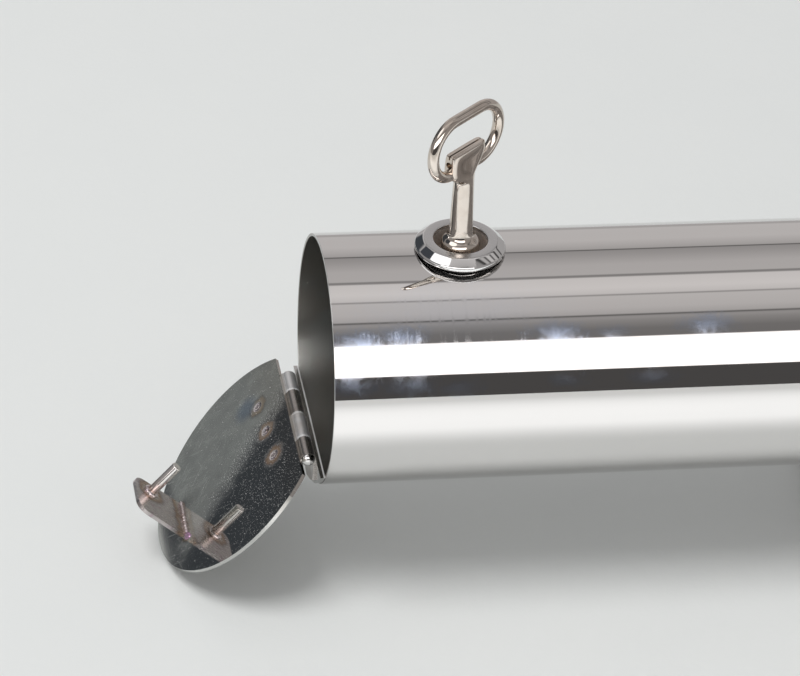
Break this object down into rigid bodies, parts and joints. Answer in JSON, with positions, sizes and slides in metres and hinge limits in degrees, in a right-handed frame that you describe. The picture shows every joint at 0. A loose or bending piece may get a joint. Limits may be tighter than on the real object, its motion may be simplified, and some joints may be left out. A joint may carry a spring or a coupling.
{
  "type": "donation box",
  "caption": "Round polished steel donation box for a wall, with a coin slot in the end cap, a hinged emptying flap and a key lock whose hook holds the flap shut.",
  "frame": {"origin": "centre of the wall plate's back face", "axes": "+X along the tube from the emptying flap to the coin slot, +Z away from the wall towards the lock, +Y follows from these two"},
  "size_m": [0.4958, 0.12, 0.1555],
  "materials": {
    "polished_tube": "mirror-polished stainless steel with faint hairlines and finger marks",
    "flap_sheet": "polished stainless sheet, dulled by dust and fine scratches",
    "bracket_steel": "satin stainless steel",
    "hinge_steel": "satin stainless hinge strip",
    "tinted_steel": "stainless steel with brown and purple weld heat tint",
    "latch_steel": "bright drawn steel",
    "lock_chrome": "chrome-plated zinc",
    "seal_rubber": "black sealing ring",
    "saddle_plastic": "black moulded spacer",
    "lock_steel": "zinc-plated steel",
    "key_nickel": "worn nickel-plated steel"
  },
  "bodies": {
    "tube_body": {"tube": "polished_tube", "slot_cap": "polished_tube", "wall_plate": "bracket_steel", "lower_standoff_post": "bracket_steel", "upper_standoff_post": "bracket_steel", "hinge_segment": "flap_sheet", "fixed_leaf": "hinge_steel", "hinge_pin": "hinge_steel", "lock_housing": "lock_chrome", "lock_gasket": "seal_rubber", "lock_saddle": "saddle_plastic", "lock_nut": "lock_steel"},
    "flap": {"flap": "flap_sheet", "flap_leaf": "hinge_steel", "latch_tongue": "tinted_steel", "latch_pin": "latch_steel", "tongue_weld": "tinted_steel", "leaf_spot_welds": "tinted_steel"},
    "lock_core": {"lock_spindle": "lock_steel", "lock_cam": "lock_steel", "cam_washer": "lock_steel", "cam_screw": "lock_steel"},
    "key": {"key_stem": "key_nickel", "key_ring": "key_nickel"}
  },
  "joints": [
    {"name": "flap_hinge", "type": "hinge", "parent": "tube_body", "child": "flap", "pos_m": [-0.23, 0, 0.04605], "axis": [0, 1, 0], "range_deg": [0, 140.3]},
    {"name": "lock_turn", "type": "hinge", "parent": "tube_body", "child": "lock_core", "pos_m": [-0.18442, 0, 0.1104], "axis": [0, 0, 1], "range_deg": [0, 85]},
    {"name": "key_lift", "type": "slide", "parent": "lock_core", "child": "key", "axis": [0, 0, 1], "range_m": [0, 0.02]}
  ]
}
